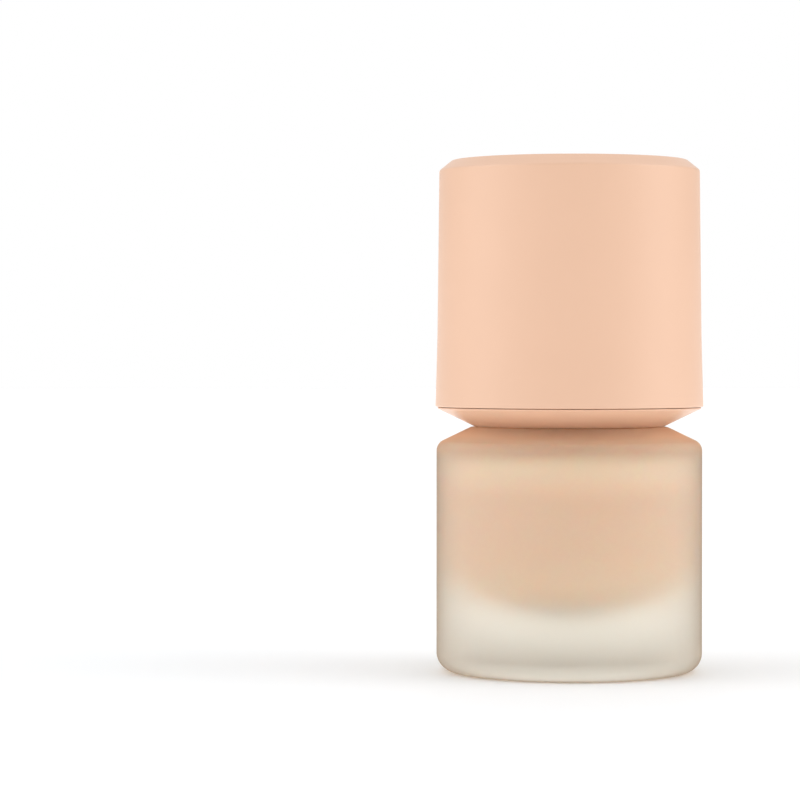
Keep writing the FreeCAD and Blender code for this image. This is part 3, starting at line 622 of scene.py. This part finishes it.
def foundation():
    """The liquid: opaque cream with faint streaks where it has run down the wall, and a band of painted light
    under the shoulder.
    """
    material, graph = new_material("foundation")
    streaks = graph.noise(6 * MM, detail=4, stretch=(1, 1, 0.25))
    clouds = graph.noise(15 * MM, detail=2, seed=5.0)
    share = graph.maths("MULTIPLY", graph.maths("ADD", streaks, clouds), 0.5)
    colour = graph.blend(graph.spread(share, 0, 1, 0.35, 0.65), LIQUID_DARK, LIQUID_LIGHT)
    # painted light: the liquid is lighter in a band under the shoulder, for light coming down the glass wall
    height = graph.height()
    rises = graph.spread(height, 0, 1, *PAINTED_LIGHT_HEIGHTS[:2])
    fades = graph.spread(height, 1, 0, *PAINTED_LIGHT_HEIGHTS[2:])
    shader = graph.surface(
        Base_Color=graph.blend(graph.maths("MINIMUM", rises, fades), colour, LIQUID_PAINTED_LIGHT),
        Roughness=graph.spread(streaks, 0.3, 0.42),
        Normal=graph.bump(streaks, 0.03 * MM),
        Subsurface_Weight=1.0,
        Subsurface_Radius=LIQUID_REACH,
        Subsurface_Scale=LIQUID_DEPTH,
    )
    graph.end(shader.outputs[0])
    return material


def foam():
    """Closed-cell gasket foam."""
    material, graph = new_material("gasket_foam")
    place = graph.add("ShaderNodeTexCoord").outputs["Object"]
    cells = graph.add("ShaderNodeTexVoronoi", {"Vector": place, "Scale": 5 / MM}).outputs["Distance"]
    colour = graph.blend(cells, (0.62, 0.62, 0.6), (0.86, 0.86, 0.84))
    shader = graph.surface(Base_Color=colour, Roughness=0.8, Normal=graph.bump(cells, 0.04 * MM))
    graph.end(shader.outputs[0])
    return material


def steel(name, roughness, stretch):
    """Drawn or polished stainless steel: streaks along the stretch, in colour and gloss."""
    material, graph = new_material(name)
    streaks = graph.noise(0.3 * MM, detail=3, stretch=stretch)
    colour = graph.blend(streaks, (0.5, 0.49, 0.48), (0.72, 0.71, 0.7))
    shader = graph.surface(
        Base_Color=colour,
        Metallic=1.0,
        Roughness=graph.spread(streaks, roughness * 0.7, roughness * 1.3),
        Normal=graph.bump(streaks, 0.003 * MM),
    )
    graph.end(shader.outputs[0])
    return material


def clear_plastic():
    """Milky polyethylene of the pump's body and dip tube, with faint drawing lines along it."""
    material, graph = new_material("clear_plastic")
    lines = graph.noise(0.6 * MM, detail=2, stretch=(1, 1, 0.05))
    shader = graph.surface(
        Base_Color=graph.blend(lines, (0.86, 0.87, 0.87), (0.92, 0.93, 0.93)),
        Roughness=graph.spread(lines, 0.3, 0.4),
        IOR=1.5,
        Transmission_Weight=0.25,
        Subsurface_Weight=0.5,
        Subsurface_Radius=(1.0, 1.0, 1.0),
        Subsurface_Scale=1 * MM,
        Normal=graph.bump(lines, 0.004 * MM),
    )
    graph.end(shader.outputs[0])
    return material


def film():
    """Matt label film: a fine coated grain and slightly uneven white."""
    material, graph = new_material("label_film")
    grain = graph.noise(0.2 * MM, detail=3, roughness=0.7)
    clouds = graph.noise(5 * MM, detail=2)
    shader = graph.surface(
        Base_Color=graph.blend(clouds, (0.84, 0.82, 0.78), (0.9, 0.88, 0.84)),
        Roughness=graph.spread(grain, 0.45, 0.6),
        Normal=graph.bump(grain, 0.006 * MM),
    )
    graph.end(shader.outputs[0])
    return material


# ---------------------------------------------------------------- the bottle

FROSTED, CLEAR = frosted_glass(), clear_glass()
FINISHES = {
    "cap_plastic": moulded(
        "cap_plastic", CAP_LIGHT, CAP_DARK, CAP_ROUGHNESS, Specular_IOR_Level=CAP_SPECULAR
    ),
    "white_plastic": moulded("white_plastic", WHITE_LIGHT, WHITE_DARK, WHITE_ROUGHNESS),
    "clear_plastic": clear_plastic(),
    "gasket_foam": foam(),
    "ball_steel": steel("ball_steel", 0.12, (1, 1, 1)),
    "label_film": film(),
}

glass(FROSTED, CLEAR)
liquid(foundation())
spring(steel("spring_steel", 0.25, (1, 1, 8)))
for node in ("overcap_shell", "overcap_base_ring", "collar_shell", "base_label"):
    turned(node, FINISHES[SLOT_OF[node]])
REMADE = {piece.name.rsplit("_", 1)[0] for piece in bpy.data.objects if piece.name not in frame["nodes"]}
for node, shown in frame["nodes"].items():
    if node not in REMADE:
        for index in range(len(shown.material_slots)):
            shown.material_slots[index].material = FINISHES[SLOT_OF[node]]

# ---------------------------------------------------------------- studio


def studio_floor():
    """A pale round floor. The camera sees it a little bluer, against the warm light off the bottle."""
    build = bmesh.new()
    bmesh.ops.create_circle(build, cap_ends=True, segments=96, radius=FLOOR_REACH)
    mesh = bpy.data.meshes.new("studio_floor")
    build.to_mesh(mesh)
    build.free()
    floor = new_piece("studio_floor", mesh)
    material, graph = new_material("studio_floor")
    grain = graph.noise(4 * MM, detail=4)
    seen = graph.add("ShaderNodeLightPath").outputs["Is Camera Ray"]
    pale = graph.blend(seen, (FLOOR_BOUNCE,) * 3, FLOOR_SEEN)
    shader = graph.surface(
        Base_Color=graph.blend(graph.spread(grain, 0.0, 0.05), pale, (0.8, 0.8, 0.8)),
        Roughness=graph.spread(grain, 0.6, 0.7),
        Specular_IOR_Level=0.2,
        Emission_Color=(1, 1, 1, 1),
        Emission_Strength=graph.spread(seen, FLOOR_GLOW, 0.0),
    )
    graph.end(shader.outputs[0])
    floor.data.materials.append(material)


def studio_light():
    """A white tent, lit softly from both sides and from behind. The camera itself sees plain white."""
    world = bpy.data.worlds.new("studio")
    bpy.context.scene.world = world
    world.use_nodes = True
    graph = Graph(world.node_tree)
    way = graph.add("ShaderNodeTexCoord").outputs["Generated"]
    _, along, up = graph.add("ShaderNodeSeparateXYZ", {0: way}).outputs
    above = graph.maths("MAXIMUM", up, 0.0)
    level = graph.maths("ADD", graph.maths("MULTIPLY", above, TENT_ABOVE), TENT_LEVEL)
    front = graph.maths("MAXIMUM", graph.maths("MULTIPLY", along, -1.0), 0.0)
    front = graph.maths("MULTIPLY", front, front)
    level = graph.maths("SUBTRACT", level, graph.maths("MULTIPLY", front, TENT_FRONT))
    for azimuth, elevation, width, strength in LOBES:
        azimuth, elevation = math.radians(azimuth), math.radians(elevation)
        aim = (
            math.sin(azimuth) * math.cos(elevation),
            -math.cos(azimuth) * math.cos(elevation),
            math.sin(elevation),
        )
        off = graph.add("ShaderNodeVectorMath", {0: way, 1: aim}, operation="DOT_PRODUCT").outputs["Value"]
        lobe = graph.maths("EXPONENT", graph.maths("DIVIDE", graph.maths("SUBTRACT", off, 1.0), width))
        level = graph.maths("ADD", level, graph.maths("MULTIPLY", lobe, strength))
    tent = graph.add("ShaderNodeBackground", {"Color": (1, 1, 1, 1), "Strength": level})
    plain = graph.add("ShaderNodeBackground", {"Color": (1, 1, 1, 1), "Strength": 1.0})
    seen = graph.add("ShaderNodeLightPath").outputs["Is Camera Ray"]
    both = graph.add("ShaderNodeMixShader", {0: seen, 1: tent.outputs[0], 2: plain.outputs[0]})
    graph.add("ShaderNodeOutputWorld", {"Surface": both.outputs[0]})


def camera():
    lens = bpy.data.cameras.new("camera")
    lens.lens, lens.sensor_width = LENS, SENSOR
    eye = bpy.data.objects.new("camera", lens)
    bpy.context.scene.collection.objects.link(eye)
    eye.location = CAMERA_PLACE
    eye.rotation_euler = (math.pi / 2 - CAMERA_DIP, 0, 0)
    lens.clip_start, lens.clip_end = 0.01, 20.0
    bpy.context.scene.camera = eye


studio_floor()
studio_light()
camera()
bpy.context.scene.view_settings.view_transform = "Standard"
